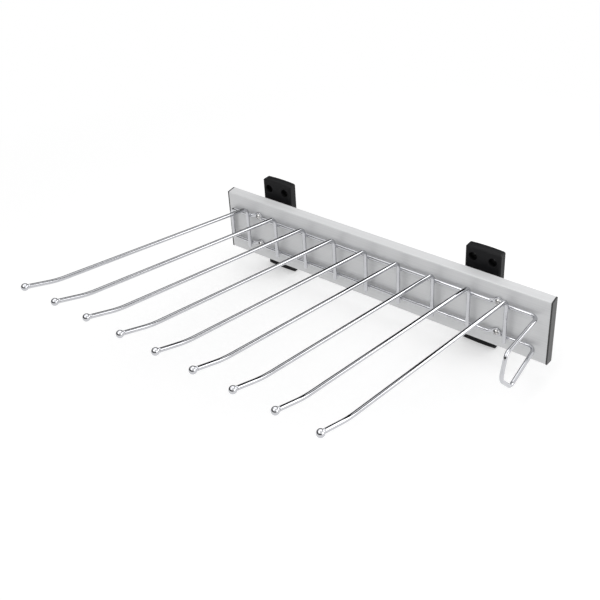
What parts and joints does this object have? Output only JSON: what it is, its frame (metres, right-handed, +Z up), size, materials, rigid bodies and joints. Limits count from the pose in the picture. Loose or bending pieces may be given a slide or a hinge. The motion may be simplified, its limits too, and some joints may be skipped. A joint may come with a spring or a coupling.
{
  "type": "pull_out_trouser_rack",
  "caption": "Side-mounted pull-out trouser rack: chromed arms with ball tips on a wire frame and aluminium cover that slides out on a ball-bearing rail held by two wall brackets.",
  "frame": {"origin": "centre of the front bracket's back face, on the wall, at the slide's mid-height", "axes": "+X along the rail toward the pull-out end, +Y into the wall, +Z up"},
  "size_m": [0.464, 0.38, 0.172],
  "materials": {
    "chrome": "bright chrome plate",
    "aluminium": "satin anodised",
    "black_plastic": "fine matte moulded",
    "rail_steel": "zinc plated",
    "cage_steel": "yellow zinc plated",
    "ball_steel": "polished",
    "screw_steel": "nickel plated",
    "rubber": "matte"
  },
  "bodies": {
    "wall_side": {"bracket_rear": "black_plastic", "bracket_front": "black_plastic", "outer_rail": "rail_steel", "rail_screws": "rail_steel", "closing_buffer": "rubber"},
    "outer_cage": {"outer_cage_top": "cage_steel", "outer_cage_bottom": "cage_steel", "outer_cage_balls": "ball_steel"},
    "middle_member": {"middle_rail": "rail_steel"},
    "inner_cage": {"inner_cage_top": "cage_steel", "inner_cage_bottom": "cage_steel", "inner_cage_balls": "ball_steel"},
    "carriage": {"inner_rail": "rail_steel", "inner_rail_screws": "rail_steel", "cover": "aluminium", "end_cap_rear": "black_plastic", "end_cap_front": "black_plastic", "wire_frame": "chrome", "frame_screws": "screw_steel", "arm_1": "chrome", "arm_2": "chrome", "arm_3": "chrome", "arm_4": "chrome", "arm_5": "chrome", "arm_6": "chrome", "arm_7": "chrome", "arm_8": "chrome", "arm_9": "chrome", "ball_tips": "chrome"}
  },
  "joints": [
    {"name": "rack_pull", "type": "slide", "parent": "wall_side", "child": "carriage", "axis": [1, 0, 0], "range_m": [0, 0.44]},
    {"name": "middle_slide", "type": "slide", "parent": "wall_side", "child": "middle_member", "axis": [1, 0, 0], "range_m": [0, 0.22]},
    {"name": "outer_cage_roll", "type": "slide", "parent": "wall_side", "child": "outer_cage", "axis": [1, 0, 0], "range_m": [0, 0.11]},
    {"name": "inner_cage_roll", "type": "slide", "parent": "wall_side", "child": "inner_cage", "axis": [1, 0, 0], "range_m": [0, 0.33]}
  ],
  "couplings": [
    {"joint": "middle_slide", "follows": "rack_pull", "ratio": 0.5},
    {"joint": "outer_cage_roll", "follows": "rack_pull", "ratio": 0.25},
    {"joint": "inner_cage_roll", "follows": "rack_pull", "ratio": 0.75}
  ]
}
